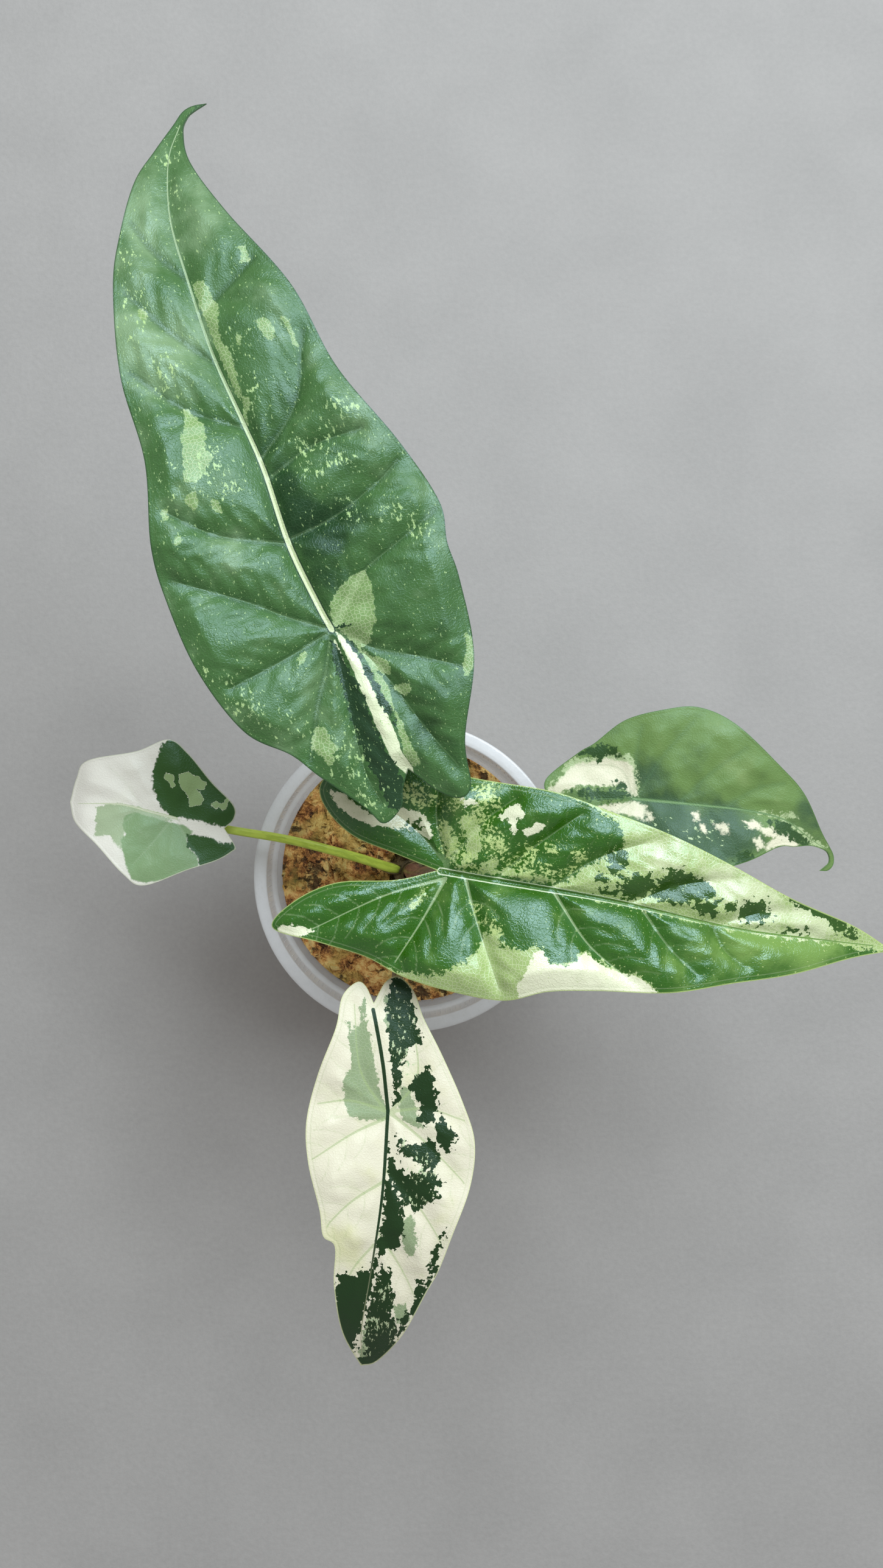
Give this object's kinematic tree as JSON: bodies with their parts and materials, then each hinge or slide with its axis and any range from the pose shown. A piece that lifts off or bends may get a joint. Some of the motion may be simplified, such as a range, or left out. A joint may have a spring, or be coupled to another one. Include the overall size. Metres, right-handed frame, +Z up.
{
  "type": "potted alocasia",
  "caption": "Young variegated alocasia with arching arrow-shaped leaves on slender stalks, growing in a clear tapered nursery cup filled with moss and bark mix.",
  "frame": {"origin": "centre of the cup's foot, on the surface that it stands on", "axes": "+Z up along the cup's axis, -Z out of its foot, +X towards the long right leaf, +Y towards the long back leaf"},
  "size_m": [0.2834, 0.3973, 0.225],
  "materials": {
    "clear_cup": "gloss",
    "moss_and_bark": "matte",
    "stem_skin": "matte",
    "leaf_speckled_green": "satin",
    "leaf_mottled": "satin",
    "leaf_cream": "satin",
    "leaf_half_white": "satin",
    "leaf_soft_green": "satin",
    "stalk_brown": "satin",
    "stalk_pale": "satin",
    "stalk_green": "satin"
  },
  "bodies": {
    "root": {"cup": "clear_cup", "planting_mix": "moss_and_bark", "stem": "stem_skin", "leaf_back": "leaf_speckled_green", "leaf_right": "leaf_mottled", "leaf_front": "leaf_cream", "leaf_left": "leaf_half_white", "leaf_under": "leaf_soft_green", "stalk_back": "stalk_brown", "stalk_right": "stalk_brown", "stalk_front": "stalk_pale", "stalk_left": "stalk_green", "stalk_under": "stalk_pale"}
  },
  "joints": []
}
